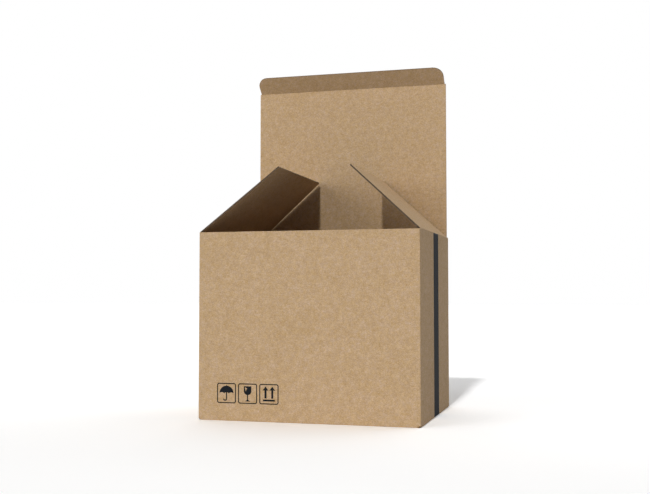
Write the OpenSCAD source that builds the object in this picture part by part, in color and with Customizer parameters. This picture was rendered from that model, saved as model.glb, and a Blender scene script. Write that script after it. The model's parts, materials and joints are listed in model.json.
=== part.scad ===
// Folding carton of kraft board with a snap lock bottom, standing with its lid open.
// The origin is the centre of the base, on the surface it stands on. The front wall faces -Y.

/* [Box] */
// Outside length, along the front wall
box_l = 150; // [115:1:220]
// Outside depth, from front to back
box_w = 120; // [100:1:180]
// Outside height of the front wall
box_h = 125; // [80:1:240]
// Thickness of the board
board_t = 1; // [0.6:0.05:1.2]
// Outside radius of a sharp fold
fold_r = 0.5; // [0.2:0.05:0.55]

/* [Hinge creases] */
// Radius of the rounded bead that a flap turns about
bead_r = 0.12; // [0.08:0.01:0.2]
// Distance from a crease's line to the start of the flap
crease_gap = 0.26; // [0.2:0.01:0.5]

/* [Lid] */
// Distance from each end of the box to the lid's side
lid_inset = 1; // [0.5:0.1:3]
// Gap between the front wall and the tuck flap when the lid is shut
tuck_gap = 3.1; // [0.5:0.1:5]
// Air between the shut lid and the dust flaps under it
lid_play = 0.1; // [0.05:0.05:0.5]

/* [Tuck flap] */
// Length of the tuck flap
tuck_l = 15; // [10:0.5:30]
// Step from the lid's side to the tuck flap's side
tuck_notch = 0.9; // [0:0.1:4]
// Radius of the tuck flap's free corners
tuck_corner_r = 7.5; // [1:0.5:9]
// Angle that the tuck flap is bent forward
tuck_bend = 45; // [0:1:90]

/* [Dust flaps] */
// Height of the dust flaps' creases above the front wall's top edge
dust_step = 0.4; // [0:0.1:1]
// Length of a dust flap
dust_l = 66.9; // [40:0.1:72]
// Angle of a dust flap above level
dust_rise = 42; // [0:0.5:90]
// Gap between a dust flap's side and the wall beside it, at the crease
dust_play = 0.6; // [0.1:0.05:2]
// How far the front side slants in over the flap's length
dust_front_slant = 16.3; // [0:0.1:30]
// How far the back side slants in over the flap's length
dust_back_slant = 1.5; // [0:0.1:20]
// Radius of a dust flap's free corners
dust_corner_r = 0.8; // [0.2:0.1:8]

/* [Snap lock bottom] */
// Distance from the back wall to the edge that the tongue locks over
lock_line = 60; // [50:1:70]
// Width of the notch that the tongue passes through
notch_w = 62; // [40:1:76]
// Gap on each side of the tongue in the notch
tongue_play = 1.5; // [1:0.5:8]
// Length of the tongue past the locking edge
tongue_over = 18; // [8:1:30]
// Length over which the tongue climbs to the locking edge
tongue_climb = 10; // [6:1:16]
// Distance before the locking edge at which the tongue is up
tongue_lead = 1; // [0.5:0.5:4]
// Distance from the front wall to where the tongue flap starts to narrow
shoulder_l = 20; // [8:1:26]
// Length of the lobes on each side of the notch
lobe_l = 20; // [8:1:26]
// How far each lobe's outer corner is cut away
lobe_cut = 18; // [4:1:22]
// Gap between a side flap's free edge and the notch
side_gap = 1; // [0:0.5:6]
// How far a side flap's front corner is cut back
side_front_cut = 37; // [10:1:45]
// How far a side flap's back corner is cut back
side_back_cut = 15; // [4:1:30]
// Length of a side flap's straight ends
side_lead = 6; // [4:0.5:12]
// Length over which a bottom flap climbs from its fold to its own layer
ramp_l = 3; // [2:0.5:6]
// Air between one folded layer and the next
layer_gap = 0.1; // [0.05:0.05:0.3]
// Distance from a box corner to where the front and back flaps begin
corner_gap = 1.5; // [1.2:0.1:2]
// Air between a bottom flap's side and the climb of the flap on the next wall
corner_play = 0.4; // [0.2:0.1:3]
// Radius of the bottom flaps' corners
bottom_corner_r = 2; // [0.5:0.5:3]

/* [Glue flap] */
// Width of the glue flap, inside the left wall at the back corner
glue_w = 15; // [8:0.5:25]
// Distance from the glue flap's ends to the wall's ends
glue_end = 3; // [2.5:0.5:8]
// How far the glue flap's ends slant in
glue_slant = 4; // [0:0.5:12]
// Width of the seam beside the left wall's cut edge
seam_w = 0.15; // [0.05:0.05:0.3]
// Depth of the seam
seam_depth = 0.3; // [0.1:0.05:0.35]

/* [Print] */
// Depth that the ink lies in the board
ink_t = 0.08; // [0.04:0.01:0.12]
// Width of the stripe on the right wall
stripe_w = 20.5; // [4:0.5:60]
// Distance of the stripe's middle behind the wall's middle
stripe_shift = 2; // [-10:0.5:10]
// Side of a handling mark's square
mark_size = 13.3; // [8:0.1:20]
// Gap between two squares
mark_gap = 1.5; // [0.5:0.1:6]
// Distance from the front wall's left end to the first square
marks_left = 13.4; // [5:0.1:40]
// Height of the squares above the base
marks_up = 11.5; // [3:0.1:40]
// Width of a square's line
mark_line = 0.7; // [0.3:0.05:1.2]
// Radius of a square's corners
mark_corner_r = 1.4; // [1:0.1:3]

/* [Hidden] */

kraft = [0.72, 0.60, 0.44];
ink = [0.13, 0.14, 0.15];

// Number of straight steps in a rounded corner of a flap
arc_steps = 6;
// Number of sides of the round beads and folds
round_sides = 48;
// Overlap that joins or clears two shapes
eps = 0.01;

half_l = box_l / 2;
half_w = box_w / 2;

dust_z = box_h + dust_step;
// Height of the lid's crease: the shut lid lies on the dust flaps
lid_z = dust_z + board_t + lid_play;
lid_w = box_l - 2 * lid_inset;
// The tuck flap goes down just inside the front wall
lid_l = box_w - board_t - tuck_gap;
tuck_w = lid_w - 2 * tuck_notch;
// A dust flap fits between the front and back walls
dust_w = box_w - 2 * (board_t + dust_play);

// Height of the underside of each folded layer of the bottom
layer_h = board_t + layer_gap;
side_layer = layer_h;
notch_layer = 2 * layer_h;
tongue_layer = 3 * layer_h;

// Distance that a bottom flap keeps from the next wall's outside
corner_relief = board_t + ramp_l + corner_play;
lock_reach = box_w - lock_line;
climb_end = lock_reach - tongue_lead;
climb_start = climb_end - tongue_climb;
tongue_w = notch_w - 2 * tongue_play;
side_reach = half_l - notch_w / 2 - side_gap;

mark_pitch = mark_size + mark_gap;

function unit(a) = a / norm(a);
function turned(a, angle) = [a.x * cos(angle) - a.y * sin(angle), a.x * sin(angle) + a.y * cos(angle)];

// Points of the arc that rounds corner b, on the way from a to c
function corner_arc(a, b, c, r) =
    let (p = unit(a - b), q = unit(c - b), half = acos(p * q) / 2)
    let (middle = b + unit(p + q) * r / sin(half), from = b + p * r / tan(half) - middle)
    let (turn = -sign(cross(p, q)) * (180 - 2 * half))
    [for (i = [0:arc_steps]) middle + turned(from, turn * i / arc_steps)];

// Outline through the points [x, y, r], each rounded to its radius r, or sharp where r is 0
function rounded(points) =
    let (n = len(points), at = [for (p = points) [p.x, p.y]])
    [for (i = [0:n - 1])
        each points[i][2] == 0 ? [at[i]]
            : corner_arc(at[(i + n - 1) % n], at[i], at[(i + 1) % n], points[i][2])];

// Half of a bottom flap's start: it narrows from the corner gap to its full distance from the wall
function flap_start(half) =
    [[half - corner_gap, 0, 0], [half - corner_relief, corner_relief - corner_gap, 0]];

function mirrored(points) = [for (i = [len(points) - 1:-1:0]) [-points[i].x, points[i].y, points[i][2]]];

// A flat panel that starts at a crease. Its outline has x along the crease and y away from it, and
// its outside face is at z = 0, with the board's thickness below. The inner edge is cut at 45
// degrees, so that it folds in by a right angle.
module panel(points) {
    difference() {
        translate([0, 0, -board_t]) linear_extrude(board_t) polygon(rounded(points));
        crease_cut(crease_gap);
    }
}

// The wedge that clears the inner side of a crease, for a panel that starts at the distance gap
module crease_cut(gap) {
    rotate([90, 0, 90])
        linear_extrude(2 * box_l + 2 * box_w, center = true)
            polygon([[gap, 0], [gap + board_t + eps, -board_t - eps], [-board_t, -board_t - eps],
                     [-board_t, eps], [gap, eps]]);
}

// The bead that a panel turns about, along the x axis
module crease_bead(length) {
    rotate([0, 90, 0]) cylinder(r = bead_r, h = length, center = true, $fn = round_sides);
}

// Frames of the four hinges: x along the crease, y away from it in the panel, z to the outside
module at_lid_crease() {
    translate([0, half_w, lid_z]) rotate([90, 0, 180]) children();
}

module at_tuck_crease() {
    at_lid_crease() translate([0, lid_l, 0]) rotate([-tuck_bend, 0, 0]) children();
}

module at_dust_crease(side) {
    translate([side * half_l, 0, dust_z])
        rotate([0, 0, side * 90])
            rotate([dust_rise, 0, 0])
                children();
}

// Outline of the four walls' outside. It is rounded at the three folds and sharp at the back left
// corner, where the left wall ends in a cut edge.
module outer_outline() {
    r = fold_r;
    square([box_l, box_w - 2 * r], center = true);
    square([box_l - 2 * r, box_w], center = true);
    for (corner = [[1, 1], [1, -1], [-1, -1]])
        translate([corner.x * (half_l - r), corner.y * (half_w - r)])
            circle(r = r, $fn = round_sides);
    translate([-half_l, half_w - r]) square(r);
}

module inner_outline() {
    square([box_l - 2 * board_t, box_w - 2 * board_t], center = true);
}

// Walls, from the bottom folds up
module walls() {
    difference() {
        translate([0, 0, board_t])
            linear_extrude(box_h - board_t)
                difference() {
                    outer_outline();
                    inner_outline();
                }
        for (side = [-1, 1]) side_wall_bevel(side);
        seam();
    }
    for (side = [-1, 1])
        translate([side * half_l, 0, 0]) rotate([0, 0, -side * 90]) wall_top(dust_w, dust_z);
    translate([0, half_w, 0]) wall_top(lid_w, lid_z);
}

// The slant on a side wall's inner top edge, so that the dust flap folds in level
module side_wall_bevel(side) {
    translate([side * half_l, 0, dust_z])
        rotate([90, 0, 0])
            linear_extrude(box_w - 2 * board_t, center = true)
                polygon([[0, 0], [-side * (board_t + eps), -board_t - eps], [-side * (board_t + eps), eps],
                         [0, eps]]);
}

// The part of a wall that carries a flap: it goes up to the crease, and its inner side is slanted.
// The wall's outside is at y = 0.
module wall_top(length, top) {
    rotate([90, 0, 90])
        linear_extrude(length, center = true)
            polygon([[0, box_h - board_t], [-board_t, box_h - board_t], [-board_t, top - board_t],
                     [0, top]]);
    translate([0, 0, top]) crease_bead(length);
}

// Line beside the left wall's cut edge, seen on the back
module seam() {
    translate([-half_l + board_t - seam_w / 2, half_w - seam_depth, 0])
        cube([seam_w, seam_depth + eps, box_h + eps]);
}

// Glue flap, fixed flat to the inside of the left wall
module glue_flap() {
    low = board_t + glue_end;
    high = box_h - glue_end;
    near = half_w - board_t;
    translate([-half_l + board_t - eps, 0, 0])
        rotate([90, 0, 90])
            linear_extrude(board_t + eps)
                polygon([[near, low], [near, high], [near - glue_w, high - glue_slant],
                         [near - glue_w, low + glue_slant]]);
}

// A bottom flap: the side view of the sheet, cut to its outline. The side view has x away from the
// wall's outside face and y up. The outline has x along the wall and y away from it.
module bottom_flap(length, side_view, outline) {
    intersection() {
        rotate([90, 0, 90])
            linear_extrude(length, center = true) {
                fold_section();
                polygon(side_view);
            }
        translate([0, 0, -eps]) linear_extrude(tongue_layer + board_t + 2 * eps) polygon(outline);
    }
}

// Side view of the fold between a wall and its bottom flap
module fold_section() {
    translate([fold_r, fold_r]) circle(r = fold_r, $fn = round_sides);
    translate([fold_r, 0]) square([board_t - fold_r, board_t]);
    translate([0, fold_r]) square([board_t, board_t - fold_r]);
}

// Side view of a sheet that follows the points [distance, height of its underside]
function sheet(path) =
    concat(path, [for (i = [len(path) - 1:-1:0]) path[i] + [0, board_t]]);

// Innermost flap, on the back wall, with the notch for the tongue
module notch_flap() {
    reach = lock_line + lobe_l;
    r = bottom_corner_r;
    half = half_l - corner_relief;
    half_outline = [each flap_start(half_l), [half, reach - lobe_cut, r], [half - lobe_cut, reach, r],
                    [notch_w / 2 + r, reach, r], [notch_w / 2, lock_line, 0]];
    translate([0, half_w, 0])
        rotate([0, 0, 180])
            bottom_flap(box_l,
                        sheet([[board_t, 0], [board_t + ramp_l, notch_layer], [reach, notch_layer]]),
                        rounded(concat(half_outline, mirrored(half_outline))));
}

// Second flaps, on the side walls
module side_flap(side) {
    r = bottom_corner_r;
    half = half_w - corner_relief;
    back_half = [each flap_start(half_w), [half, side_lead, r], [half - side_back_cut, side_reach, r]];
    front_half = [each flap_start(half_w), [half, side_lead, r], [half - side_front_cut, side_reach, r]];
    translate([side * half_l, 0, 0])
        mirror([side < 0 ? 1 : 0, 0, 0])
            rotate([0, 0, 90])
                bottom_flap(box_w,
                            sheet([[board_t, 0], [board_t + ramp_l, side_layer],
                                   [side_reach, side_layer]]),
                            rounded(concat(back_half, mirrored(front_half))));
}

// Outermost flap, on the front wall. Its tongue climbs through the notch and lies on the notch flap.
module tongue_flap() {
    reach = lock_reach + tongue_over;
    r = bottom_corner_r;
    half = half_l - corner_relief;
    half_outline = [each flap_start(half_l), [half, shoulder_l, r], [tongue_w / 2, climb_start, 0],
                    [tongue_w / 2, reach, 2 * r]];
    translate([0, -half_w, 0])
        bottom_flap(box_l,
                    sheet([[board_t, 0], [climb_start, 0], [climb_end, tongue_layer],
                           [reach, tongue_layer]]),
                    rounded(concat(half_outline, mirrored(half_outline))));
}

module carton_body() {
    color(kraft)
        difference() {
            union() {
                walls();
                glue_flap();
                notch_flap();
                for (side = [-1, 1]) side_flap(side);
                tongue_flap();
            }
            stripe_ink();
            marks_ink();
        }
}

module lid() {
    half = lid_w / 2;
    color(kraft)
        at_lid_crease() {
            difference() {
                panel([[-half, crease_gap, 0], [half, crease_gap, 0], [half, lid_l, 0], [-half, lid_l, 0]]);
                translate([0, lid_l, 0]) mirror([0, 1, 0]) crease_cut(0);
            }
            translate([0, lid_l, 0]) crease_bead(tuck_w);
        }
}

module tuck_flap() {
    half = tuck_w / 2;
    color(kraft)
        at_tuck_crease()
            panel([[-half, crease_gap, 0], [half, crease_gap, 0], [half, tuck_l, tuck_corner_r],
                   [-half, tuck_l, tuck_corner_r]]);
}

// A dust flap. Its x runs to the back on the right wall and to the front on the left wall.
module dust_flap(side) {
    half = dust_w / 2;
    r = dust_corner_r;
    slant_left = side > 0 ? dust_front_slant : dust_back_slant;
    slant_right = side > 0 ? dust_back_slant : dust_front_slant;
    color(kraft)
        at_dust_crease(side)
            panel([[-half, crease_gap, 0], [half, crease_gap, 0], [half - slant_right, dust_l, r],
                   [slant_left - half, dust_l, r]]);
}

module left_dust_flap() {
    dust_flap(-1);
}

module right_dust_flap() {
    dust_flap(1);
}

// The stripe's ink: a band of the right wall's outer skin, from the fold at the base to the crease
module stripe_ink() {
    top = dust_z - 2 * bead_r;
    translate([half_l, stripe_shift + stripe_w / 2, 0])
        rotate([90, 0, 0])
            linear_extrude(stripe_w) {
                translate([-ink_t, fold_r]) square([ink_t, top - fold_r]);
                translate([-fold_r, fold_r])
                    intersection() {
                        difference() {
                            circle(r = fold_r, $fn = round_sides);
                            circle(r = fold_r - ink_t, $fn = round_sides);
                        }
                        translate([0, -fold_r]) square(fold_r);
                    }
            }
}

// The handling marks' ink, in the front wall's outer skin
module marks_ink() {
    translate([-half_l + marks_left, -half_w + ink_t, marks_up])
        rotate([90, 0, 0])
            linear_extrude(ink_t) {
                for (i = [0:2]) translate([i * mark_pitch, 0]) mark_frame();
                translate([mark_size / 2, 0]) umbrella();
                translate([mark_size / 2 + mark_pitch, 0]) stemmed_glass();
                translate([mark_size / 2 + 2 * mark_pitch, 0]) two_arrows();
            }
}

module mark_frame() {
    difference() {
        rounded_square(0, mark_corner_r);
        rounded_square(mark_line, mark_corner_r - mark_line);
    }
}

module rounded_square(inset, r) {
    a = inset;
    b = mark_size - inset;
    polygon(rounded([[a, a, r], [b, a, r], [b, b, r], [a, b, r]]));
}

// The three figures stand in their squares with x = 0 on the middle line, as shares of the square
module umbrella() {
    canopy_r = mark_size * 0.375;
    rim_y = mark_size * 0.49;
    scallop_r = mark_size * 0.16;
    scallop_drop = mark_size * 0.11;
    scallop_pitch = mark_size * 0.25;
    shaft_w = mark_size * 0.06;
    tip_y = mark_size * 0.89;
    hook_y = mark_size * 0.22;
    hook_r = mark_size * 0.075;
    difference() {
        translate([0, rim_y]) circle(r = canopy_r, $fn = round_sides);
        translate([-2 * canopy_r, rim_y - 4 * canopy_r]) square(4 * canopy_r);
        for (i = [-1:1])
            translate([i * scallop_pitch, rim_y - scallop_drop]) circle(r = scallop_r, $fn = round_sides);
    }
    translate([-shaft_w / 2, hook_y]) square([shaft_w, tip_y - hook_y]);
    translate([-hook_r, hook_y])
        difference() {
            circle(r = hook_r + shaft_w / 2, $fn = round_sides);
            circle(r = hook_r - shaft_w / 2, $fn = round_sides);
            translate([-2 * hook_r, 0]) square(4 * hook_r);
        }
}

module stemmed_glass() {
    bowl_half = mark_size * 0.2;
    rim_y = mark_size * 0.865;
    belly_y = mark_size * 0.63;
    foot_y = mark_size * 0.115;
    stem_w = mark_size * 0.055;
    difference() {
        union() {
            translate([-bowl_half, belly_y]) square([2 * bowl_half, rim_y - belly_y]);
            translate([0, belly_y]) circle(r = bowl_half, $fn = round_sides);
        }
        polygon(mark_size * [[-0.14, 0.79], [-0.1, 0.805], [-0.02, 0.735], [-0.075, 0.7], [-0.09, 0.6],
                             [-0.12, 0.7]]);
    }
    translate([-stem_w / 2, foot_y]) square([stem_w, belly_y - foot_y]);
    polygon(mark_size * [[-0.15, 0.115], [0.15, 0.115], [0.035, 0.19], [-0.035, 0.19]]);
}

module two_arrows() {
    shaft_half = mark_size * 0.055;
    head_half = mark_size * 0.16;
    foot_y = mark_size * 0.29;
    neck_y = mark_size * 0.69;
    barb_y = mark_size * 0.67;
    tip_y = mark_size * 0.88;
    bar = mark_size * [0.62, 0.09];
    bar_y = mark_size * 0.15;
    for (side = [-1, 1])
        translate([side * mark_size * 0.175, 0])
            polygon([[-shaft_half, foot_y], [shaft_half, foot_y], [shaft_half, neck_y],
                     [head_half, barb_y], [0, tip_y], [-head_half, barb_y], [-shaft_half, neck_y]]);
    translate([-bar.x / 2, bar_y]) square(bar);
}

module side_stripe() {
    color(ink) stripe_ink();
}

module handling_marks() {
    color(ink) marks_ink();
}

carton_body();
lid();
tuck_flap();
left_dust_flap();
right_dust_flap();
side_stripe();
handling_marks();
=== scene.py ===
"""Looks, light and camera of a kraft folding carton that stands with its lid open."""
import json
import math

import bmesh
import bpy
from mathutils import Matrix, Vector


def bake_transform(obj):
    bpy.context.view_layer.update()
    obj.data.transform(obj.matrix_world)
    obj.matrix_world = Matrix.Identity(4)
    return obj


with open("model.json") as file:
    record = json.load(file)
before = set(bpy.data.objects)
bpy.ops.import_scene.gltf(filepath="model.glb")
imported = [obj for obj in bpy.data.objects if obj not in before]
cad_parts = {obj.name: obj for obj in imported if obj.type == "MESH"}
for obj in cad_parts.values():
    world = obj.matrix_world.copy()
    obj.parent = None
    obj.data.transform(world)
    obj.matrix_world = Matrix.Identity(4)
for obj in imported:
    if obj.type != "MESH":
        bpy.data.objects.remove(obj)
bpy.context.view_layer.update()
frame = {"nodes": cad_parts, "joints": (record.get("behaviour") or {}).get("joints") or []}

MM = 0.001

# Sizes of the carton in metres, and its angles
BOARD_T = 1.0 * MM
WALL_TOP = 125 * MM
HALF_L = 75 * MM
HALF_W = 60 * MM
# Just above the highest folded layer of the bottom
BOTTOM_TOP = 4.35 * MM
# From a crease's line to the start of its flap
CREASE_GAP = 0.26 * MM
DUST_RISE = math.radians(42)
TUCK_BEND = math.radians(45)
# The stripe's middle and half width, along Y
STRIPE = (2 * MM, 10.25 * MM)
# Lengths of the paper over the creases, just short of the flaps' own widths
LID_CREASE_L = 147.9 * MM
TUCK_CREASE_L = 146.1 * MM
DUST_CREASE_L = 116.7 * MM

# The photograph's view
IMAGE_W = 650
FOCAL_PX = 959.5
SENSOR_W = 36.0
CAMERA_AT = (0.18070, -0.65720, 0.08414)
CAMERA_YAW = 15.709
CAMERA_PITCH = 2.756

# Lamps: name, degrees round from the front to the left, elevation and width in degrees, energy
LAMPS = [("key", 0, 44.5, 3.6, 1.51), ("fill", 45, 8, 50, 1.60), ("rim", -120, 40, 50, 0.22)]
# Brightness of the sky overhead, from where it falls off to nothing at the horizon
SKY_ZENITH = 0.23

# The floor as it lights the carton, and as the camera and the reflections see it
FLOOR_ALBEDO = 0.95
FLOOR_SEEN_ALBEDO = 1.4
FLOOR_SEEN_GLOW = 0.085
# Glow that comes in between two places along Y, so that the far floor turns white
FLOOR_FAR_GLOW = 0.165
FLOOR_FAR_FROM, FLOOR_FAR_TO = -0.25, 0.08
# How much dimmer the floor looks close to the carton, and how far that reaches
FLOOR_CONTACT = 0.52
FLOOR_CONTACT_REACH = 200 * MM
# The way that the floor's contact shade looks for the carton: back and up
FLOOR_CONTACT_WAY = {"Y": 0.8, "Z": 0.6}
FLOOR_SIZE = 12.0

# Colours, linear
KRAFT = (0.491, 0.334, 0.184)
KRAFT_EDGE = (0.150, 0.092, 0.046)
# The dust flaps' cut edges: the board's darker core, made darker still by painted shade along those
# edges
DUST_FLAP_EDGE_CORE_AND_SHADE = (0.070, 0.043, 0.022)
INK = (0.009, 0.011, 0.014)
# Factors on the kraft's colour: warmer patches, cooler patches, brown specks, and painted light on
# the right flap
KRAFT_WARM = (1.045, 1.03, 0.935)
KRAFT_COOL = (0.955, 0.97, 1.065)
KRAFT_RUST = (0.85, 0.64, 0.42)
# Painted light: the right dust flap's kraft is made this much lighter, for the brighter light on
# its outer face
RIGHT_FLAP_PAINTED_LIGHT = 1.14
# How much each layer of the kraft changes its tone
CLOUD_TONE, MOTTLE_TONE, FLECK_TONE, GRAIN_TONE = 0.08, 0.30, 0.34, 0.85
PALE_FIBRE_TONE, DARK_FIBRE_TONE = 0.16, 0.18
# Denser fibre takes out more green and blue than red
GREEN_POWER, BLUE_POWER = 1.3, 2.6
PAPER_GLOSS = 0.6
INK_GLOSS = 0.12
# A face whose normal has less than this along a panel's normal is a cut edge
EDGE_FACING = 0.4


class Shader:
    """Adds nodes to one material, joining or setting their sockets."""

    def __init__(self, name):
        self.material = bpy.data.materials.new(name)
        self.material.use_nodes = True
        self.tree = self.material.node_tree
        self.tree.nodes.clear()
        self.output = self.add("ShaderNodeOutputMaterial")
        self.coords = self.add("ShaderNodeTexCoord")

    def add(self, kind, sockets=None, **settings):
        node = self.tree.nodes.new(kind)
        for key, value in settings.items():
            setattr(node, key, value)
        for key, value in (sockets or {}).items():
            self.put(node.inputs[key], value)
        return node

    def put(self, socket, value):
        if isinstance(value, bpy.types.NodeSocket):
            self.tree.links.new(value, socket)
        else:
            socket.default_value = value

    def math(self, operation, a, b=0.0):
        return self.add("ShaderNodeMath", {0: a, 1: b}, operation=operation).outputs[0]

    def vector(self, operation, a, b):
        node = self.add("ShaderNodeVectorMath", {0: a, 1: b}, operation=operation)
        return node.outputs["Value" if operation == "DOT_PRODUCT" else "Vector"]

    def spread(self, value, low, high, to_low=0.0, to_high=1.0):
        """value from low..high to to_low..to_high, eased at both ends."""
        sockets = {"Value": value, "From Min": low, "From Max": high,
                   "To Min": to_low, "To Max": to_high}
        node = self.add("ShaderNodeMapRange", sockets, interpolation_type="SMOOTHSTEP")
        return node.outputs["Result"]

    def noise(self, size, detail=2.0, roughness=0.5, distortion=0.0, at=None):
        """Noise with features of that size in metres, from 0 to 1."""
        sockets = {"Vector": at or self.coords.outputs["Object"], "Scale": 1 / size,
                   "Detail": detail, "Roughness": roughness, "Distortion": distortion}
        return self.add("ShaderNodeTexNoise", sockets).outputs["Fac"]

    def mix(self, share, a, b):
        node = self.add("ShaderNodeMix", {"Factor": share}, data_type="RGBA")
        colours = [s for s in node.inputs if s.type == "RGBA"]
        for socket, value in zip(colours, (a, b)):
            self.put(socket, (*value, 1.0) if isinstance(value, tuple) else value)
        return next(s for s in node.outputs if s.type == "RGBA")

    def scaled(self, colour, factor):
        """colour times a number."""
        sockets = {0: colour, "Scale": factor}
        return self.add("ShaderNodeVectorMath", sockets, operation="SCALE").outputs[0]

    def parts(self, vector):
        """The X, Y and Z outputs of a vector."""
        return self.add("ShaderNodeSeparateXYZ", {0: vector}).outputs


def tinted(colour, factors):
    return tuple(c * k for c, k in zip(colour, factors))


def fibres(shader, length, width, turns):
    """Hair-like streaks: noise drawn out along some directions, with its brightest threads kept."""
    kept = None
    for i, turn in enumerate(turns):
        mapping = shader.add(
            "ShaderNodeMapping",
            {"Vector": shader.coords.outputs["Object"],
             "Location": (0.31 * (i + 1), 0.17 * i, 0.23 * i),
             "Rotation": tuple(math.radians(a) for a in turn),
             "Scale": (1 / length, 1 / width, 1 / width)},
        )
        streak = shader.noise(1.0, detail=1.0, distortion=0.6, at=mapping.outputs["Vector"])
        thread = shader.spread(streak, 0.66, 0.78)
        kept = thread if kept is None else shader.math("MAXIMUM", kept, thread)
    return kept


def specks(shader, cell, radius, share):
    """Small round specks, one in some of the cells."""
    sockets = {"Vector": shader.coords.outputs["Object"], "Scale": 1 / cell}
    voronoi = shader.add("ShaderNodeTexVoronoi", sockets)
    draw = shader.add("ShaderNodeSeparateColor", {"Color": voronoi.outputs["Color"]})
    chosen = shader.math("LESS_THAN", draw.outputs["Red"], share)
    near = shader.spread(voronoi.outputs["Distance"], radius / cell * 0.4, radius / cell, 1.0, 0.0)
    return shader.math("MULTIPLY", near, chosen)


def kraft_surface(shader, colour, contrast):
    """Colour and height of kraft paper: mottling, flecks, grain, fibres and specks."""
    cloud = shader.noise(26 * MM, detail=2.0)
    mottle = shader.noise(4.2 * MM, detail=3.0, roughness=0.6)
    fleck = shader.noise(1.5 * MM, detail=2.0, roughness=0.6)
    grain = shader.noise(0.55 * MM, detail=2.0, roughness=0.7)
    pale = fibres(shader, 2.4 * MM, 0.26 * MM, [(0, 38, 42), (15, -35, -50), (50, 40, 115)])
    dark = fibres(shader, 2.0 * MM, 0.24 * MM, [(20, 50, -20), (-30, 35, 65), (40, -45, 140)])
    brown_specks = specks(shader, 3.0 * MM, 0.45 * MM, 0.3)

    tone = 1.0
    for layer, weight in ((cloud, CLOUD_TONE), (mottle, MOTTLE_TONE), (fleck, FLECK_TONE),
                          (grain, GRAIN_TONE)):
        step = shader.math("MULTIPLY", shader.math("SUBTRACT", layer, 0.5), weight * contrast)
        tone = shader.math("ADD", step, tone)
    tone = shader.math("ADD", tone, shader.math("MULTIPLY", pale, PALE_FIBRE_TONE * contrast))
    tone = shader.math("SUBTRACT", tone, shader.math("MULTIPLY", dark, DARK_FIBRE_TONE * contrast))

    hue = shader.noise(1.7 * MM, detail=3.0, roughness=0.65, distortion=0.3)
    tint = shader.mix(shader.spread(hue, 0.3, 0.7), tinted(colour, KRAFT_WARM),
                      tinted(colour, KRAFT_COOL))
    tint = shader.mix(shader.math("MULTIPLY", brown_specks, 0.75), tint, tinted(colour, KRAFT_RUST))
    height = shader.math("ADD", grain, shader.math("MULTIPLY", pale, 0.5))
    height = shader.math("ADD", height, shader.math("MULTIPLY", fleck, 0.6))
    toned = shader.add("ShaderNodeCombineXYZ", {"X": tone,
                                                "Y": shader.math("POWER", tone, GREEN_POWER),
                                                "Z": shader.math("POWER", tone, BLUE_POWER)})
    return shader.vector("MULTIPLY", tint, toned.outputs[0]), height


def plain_bump(shader, height, depth, strength):
    sockets = {"Height": height, "Distance": depth, "Strength": strength}
    return shader.add("ShaderNodeBump", sockets).outputs[0]


def finish_surface(shader, colour, normal, roughness, gloss):
    bsdf = shader.add("ShaderNodeBsdfPrincipled", {"Base Color": colour, "Normal": normal})
    shader.put(bsdf.inputs["Roughness"], roughness)
    bsdf.inputs["Specular IOR Level"].default_value = gloss
    shader.put(shader.output.inputs["Surface"], bsdf.outputs[0])
    return shader.material


def finish_paper(shader, colour, height):
    """Matte paper, smoother where its fibres stand higher."""
    normal = plain_bump(shader, height, 0.06 * MM, 0.25)
    roughness = shader.spread(height, 0.6, 1.4, 0.92, 0.78)
    return finish_surface(shader, colour, normal, roughness, PAPER_GLOSS)


def off_plane(shader, normal):
    """1 where the surface stands across a panel with that normal, as a cut edge does."""
    along = shader.vector("DOT_PRODUCT", shader.coords.outputs["Normal"], normal)
    return shader.math("LESS_THAN", shader.math("ABSOLUTE", along), EDGE_FACING)


def kraft_board(name, edge_mask, contrast=0.93, tone=1.0, edge=KRAFT_EDGE):
    """Kraft board, with the darker core showing at the cut edges that edge_mask(shader) picks; on
    the dust flaps edge also carries painted shade, and on the right flap tone is painted light.
    """
    shader = Shader(name)
    face, height = kraft_surface(shader, tuple(tone * c for c in KRAFT), contrast)
    core_grain = shader.noise(0.18 * MM, detail=2.0)
    core = shader.scaled(edge, shader.spread(core_grain, 0.3, 0.7, 0.75, 1.25))
    return finish_paper(shader, shader.mix(edge_mask(shader), face, core), height)


def panel_edges(normal):
    return lambda shader: off_plane(shader, normal)


def carton_edges(shader):
    """The cut edges of the carton's body: the front wall's top and the bottom flaps' outlines."""
    place = shader.parts(shader.coords.outputs["Object"])
    facing = shader.parts(shader.coords.outputs["Normal"])
    inner_face = 1.1 * BOARD_T
    top = shader.math("MULTIPLY", shader.math("GREATER_THAN", place["Z"], WALL_TOP - 0.05 * MM),
                      shader.math("GREATER_THAN", facing["Z"], 0.9))
    bottom = shader.math("LESS_THAN", place["Z"], BOTTOM_TOP)
    for amount, limit in ((facing["Z"], EDGE_FACING), (place["X"], HALF_L - inner_face),
                          (place["Y"], HALF_W - inner_face)):
        within = shader.math("LESS_THAN", shader.math("ABSOLUTE", amount), limit)
        bottom = shader.math("MULTIPLY", bottom, within)
    return shader.math("MAXIMUM", top, bottom)


def ink_material(name):
    """Matte dark ink on kraft paper, thin enough for the fibres to show a little."""
    shader = Shader(name)
    grain = shader.noise(0.5 * MM, detail=3.0, roughness=0.65)
    thin = shader.spread(shader.noise(0.35 * MM, detail=2.0), 0.62, 0.85, 0.0, 0.35)
    colour = shader.scaled(shader.mix(thin, INK, tuple(0.45 * c for c in KRAFT)),
                           shader.spread(grain, 0.25, 0.75, 0.8, 1.2))
    normal = plain_bump(shader, grain, 0.05 * MM, 0.2)
    roughness = shader.spread(grain, 0.3, 0.7, 0.92, 0.78)
    return finish_surface(shader, colour, normal, roughness, INK_GLOSS)


def paint(piece, material):
    for slot in piece.material_slots:
        slot.material = material


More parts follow.
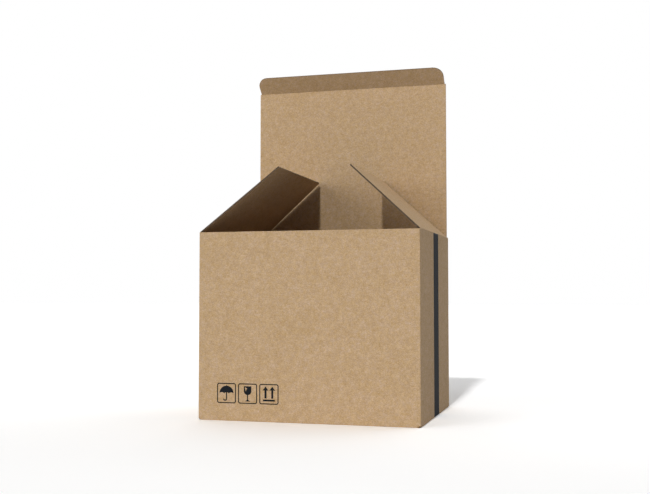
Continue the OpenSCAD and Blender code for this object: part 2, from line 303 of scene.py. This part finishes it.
def crease_board(name):
    """Kraft board of the folds, with the stripe's ink running on to the right flap's crease."""
    shader = Shader(name)
    face, height = kraft_surface(shader, KRAFT, 1.0)
    place = shader.parts(shader.coords.outputs["Object"])
    off_middle = shader.math("ABSOLUTE", shader.math("SUBTRACT", place["Y"], STRIPE[0]))
    inked = shader.math("LESS_THAN", off_middle, STRIPE[1])
    for share in (shader.math("GREATER_THAN", place["X"], HALF_L - BOARD_T),
                  shader.math("LESS_THAN", place["Z"], joint_point("right_dust_hinge").z)):
        inked = shader.math("MULTIPLY", inked, share)
    return finish_paper(shader, shader.mix(inked, face, INK), height)


def smooth_step(t):
    t = min(max(t, 0.0), 1.0)
    return t * t * (3 - 2 * t)


def extruded(name, section, at, axis, length, material):
    """A closed strip along a crease. The section's points are offsets from at, which is on it."""
    mesh = bmesh.new()
    rings = [[mesh.verts.new(at + p + axis * end * length) for p in section] for end in (-0.5, 0.5)]
    count = len(section)
    for i in range(count):
        j = (i + 1) % count
        mesh.faces.new((rings[0][i], rings[0][j], rings[1][j], rings[1][i]))
    mesh.faces.new(rings[0][::-1])
    mesh.faces.new(rings[1])
    bmesh.ops.recalc_face_normals(mesh, faces=mesh.faces)
    data = bpy.data.meshes.new(name)
    mesh.to_mesh(data)
    mesh.free()
    data.materials.append(material)
    piece = bpy.data.objects.new(name, data)
    bpy.context.scene.collection.objects.link(piece)
    return piece


def outer_skin(name, bodies, at, axis, first, second, length, material):
    """The outer paper over the fold between two panels. at is a point on the crease and axis its
    direction. first and second run from the crease into the two panels, and the outside is at
    first x axis and axis x second."""
    outside = first.cross(axis)
    turn = outside.angle(axis.cross(second))
    reach, depth, bend_half, blend_half = 0.9 * MM, 0.07 * MM, 0.2 * MM, 0.15 * MM
    # How many millimetres the strip stands over the panels, at shares of its reach
    heights = [(-1.0, -0.03), (-0.7, 0.012), (-0.4, 0.06), (-0.2, 0.125), (-0.1, 0.145),
               (0.0, 0.15)]
    heights += [(-t, h) for t, h in reversed(heights[:-1])]
    steps = 36
    upper, lower = [], []
    for i in range(steps + 1):
        t = -1 + 2 * i / steps
        for (t0, h0), (t1, h1) in zip(heights, heights[1:]):
            if t0 <= t <= t1:
                height = (h0 + (h1 - h0) * (t - t0) / (t1 - t0)) * MM
        bend = Matrix.Rotation(-turn * smooth_step((t * reach / bend_half + 1) / 2), 3, axis)
        upper.append(bend @ (outside * height - first * t * reach))
        lower.append(bend @ (outside * -depth - first * t * reach))
    piece = extruded(name, upper + lower[::-1], at, axis, length, material)
    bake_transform(piece)


def inner_liner(name, bodies, at, axis, first, second, length, material):
    """The inner paper over the same fold. It carries both inner faces on to their corner."""
    inward = (-first.cross(axis), -axis.cross(second))
    corner = (inward[0] + inward[1]) * BOARD_T / (1 + inward[0].dot(inward[1]))
    ends = [(first + inward[0]) * BOARD_T, second * (BOARD_T + CREASE_GAP) + inward[1] * BOARD_T]
    tail, sink, skin, proud = 0.5 * MM, 0.03 * MM, 0.14 * MM, 0.015 * MM
    steps = 12
    path = [ends[0].lerp(corner, i / steps) for i in range(steps)]
    path += [corner.lerp(ends[1], i / steps) for i in range(steps + 1)]
    upper = [ends[0] + first * tail - inward[0] * sink]
    lower = [upper[0] - inward[0] * skin]
    for i, point in enumerate(path):
        facing = (inward[0] + inward[1]).normalized() if i == steps else inward[i > steps]
        upper.append(point + facing * proud)
        lower.append(point - facing * skin)
    upper.append(ends[1] + second * tail - inward[1] * sink)
    lower.append(upper[-1] - inward[1] * skin)
    piece = extruded(name, upper + lower[::-1], at, axis, length, material)
    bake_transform(piece)


def make_floor():
    shader = Shader("floor")
    path = shader.add("ShaderNodeLightPath")
    seen = shader.math("MAXIMUM", path.outputs["Is Camera Ray"], path.outputs["Is Glossy Ray"])
    seen = shader.math("MAXIMUM", seen, path.outputs["Is Transmission Ray"])
    real = shader.add("ShaderNodeBsdfDiffuse", {"Color": (FLOOR_ALBEDO,) * 3 + (1.0,)})
    shown = shader.add("ShaderNodeBsdfDiffuse", {"Color": (FLOOR_SEEN_ALBEDO,) * 3 + (1.0,)})
    away = shader.parts(shader.coords.outputs["Object"])["Y"]
    glow_strength = shader.spread(away, FLOOR_FAR_FROM, FLOOR_FAR_TO,
                                  FLOOR_SEEN_GLOW, FLOOR_SEEN_GLOW + FLOOR_FAR_GLOW)
    backwards = shader.add("ShaderNodeCombineXYZ", FLOOR_CONTACT_WAY).outputs[0]
    sockets = {"Distance": FLOOR_CONTACT_REACH, "Normal": backwards}
    open_sky = shader.add("ShaderNodeAmbientOcclusion", sockets, samples=16).outputs["AO"]
    contact = shader.spread(open_sky, 0.0, 1.0, FLOOR_CONTACT, 0.0)
    strength = shader.math("SUBTRACT", glow_strength, contact)
    glow = shader.add("ShaderNodeEmission", {"Strength": strength})
    bright = shader.add("ShaderNodeAddShader", {0: shown.outputs[0], 1: glow.outputs[0]})
    mixed = shader.add("ShaderNodeMixShader", {0: seen, 1: real.outputs[0], 2: bright.outputs[0]})
    shader.put(shader.output.inputs["Surface"], mixed.outputs[0])
    bpy.ops.mesh.primitive_plane_add(size=FLOOR_SIZE)
    floor = bpy.context.object
    floor.name = "floor"
    floor.data.materials.append(shader.material)


def make_world():
    world = bpy.data.worlds.new("studio")
    bpy.context.scene.world = world
    world.use_nodes = True
    nodes, links = world.node_tree.nodes, world.node_tree.links
    nodes.clear()
    path = nodes.new("ShaderNodeLightPath")
    seen = None
    for kind in ("Is Camera Ray", "Is Glossy Ray", "Is Transmission Ray"):
        if seen is None:
            seen = path.outputs[kind]
            continue
        either = nodes.new("ShaderNodeMath")
        either.operation = "MAXIMUM"
        links.new(seen, either.inputs[0])
        links.new(path.outputs[kind], either.inputs[1])
        seen = either.outputs[0]
    direction = nodes.new("ShaderNodeTexCoord").outputs["Generated"]
    height = nodes.new("ShaderNodeSeparateXYZ")
    links.new(direction, height.inputs[0])
    strength = nodes.new("ShaderNodeMapRange")
    strength.inputs["To Max"].default_value = SKY_ZENITH
    links.new(height.outputs["Z"], strength.inputs["Value"])
    white = nodes.new("ShaderNodeMath")
    white.operation = "MAXIMUM"
    links.new(seen, white.inputs[0])
    links.new(strength.outputs["Result"], white.inputs[1])
    background = nodes.new("ShaderNodeBackground")
    background.inputs["Color"].default_value = (1.0, 1.0, 1.0, 1.0)
    links.new(white.outputs[0], background.inputs["Strength"])
    output = nodes.new("ShaderNodeOutputWorld")
    links.new(background.outputs[0], output.inputs["Surface"])


def make_lamps():
    for name, azimuth, elevation, width, energy in LAMPS:
        light = bpy.data.lights.new(name, "SUN")
        light.energy = energy
        light.angle = math.radians(width)
        lamp = bpy.data.objects.new(name, light)
        lamp.rotation_euler = (math.radians(90 - elevation), 0, -math.radians(azimuth))
        bpy.context.scene.collection.objects.link(lamp)


def make_camera():
    data = bpy.data.cameras.new("camera")
    data.sensor_fit = "HORIZONTAL"
    data.sensor_width = SENSOR_W
    data.lens = FOCAL_PX / IMAGE_W * SENSOR_W
    data.clip_start = 0.01
    data.clip_end = 100
    camera = bpy.data.objects.new("camera", data)
    camera.location = CAMERA_AT
    camera.rotation_euler = (math.radians(90 + CAMERA_PITCH), 0, math.radians(CAMERA_YAW))
    bpy.context.scene.collection.objects.link(camera)
    bpy.context.scene.camera = camera


def joint_point(name):
    return next(Vector(j["pos_m"]) for j in frame["joints"] if j["name"] == name)


def dress_nodes():
    nodes = frame["nodes"]
    paint(nodes["carton_body"], kraft_board("kraft_carton", carton_edges, contrast=1.1))
    paint(nodes["lid"], kraft_board("kraft_lid", panel_edges((0, 1, 0))))
    tuck_normal = (0, math.cos(TUCK_BEND), math.sin(TUCK_BEND))
    paint(nodes["tuck_flap"], kraft_board("kraft_tuck_flap", panel_edges(tuck_normal)))
    # tone makes the right flap's kraft lighter as painted light
    for name, side, tone in (("left_dust_flap", -1, 1.0), ("right_dust_flap", 1, RIGHT_FLAP_PAINTED_LIGHT)):
        normal = (side * math.sin(DUST_RISE), 0, math.cos(DUST_RISE))
        # Both dust flaps' cut edges carry painted shade in their edge colour
        paint(nodes[name], kraft_board("kraft_" + name, panel_edges(normal), tone=tone,
                                       edge=DUST_FLAP_EDGE_CORE_AND_SHADE))
    ink = ink_material("dark_ink")
    for name in ("side_stripe", "handling_marks"):
        paint(nodes[name], ink)


def make_creases():
    kraft = crease_board("kraft_crease")
    down, up = Vector((0, 0, -1)), Vector((0, 0, 1))
    tuck = Vector((0, -math.sin(TUCK_BEND), math.cos(TUCK_BEND)))
    across = Vector((-1, 0, 0))
    for name, bodies, second, length in (("lid", ("carton", "lid"), up, LID_CREASE_L),
                                         ("tuck", ("lid", "tuck_flap"), tuck, TUCK_CREASE_L)):
        at = joint_point(name + "_hinge")
        for part, make in (("_crease", outer_skin), ("_crease_liner", inner_liner)):
            make(name + part, bodies, at, across, down, second, length, kraft)
    for name, side in (("left_dust", -1), ("right_dust", 1)):
        second = Vector((-side * math.cos(DUST_RISE), 0, math.sin(DUST_RISE)))
        outer_skin(name + "_crease", ("carton", name + "_flap"), joint_point(name + "_hinge"),
                   Vector((0, side, 0)), down, second, DUST_CREASE_L, kraft)


bpy.context.scene.view_settings.view_transform = "Standard"
dress_nodes()
make_creases()
make_floor()
make_world()
make_lamps()
make_camera()
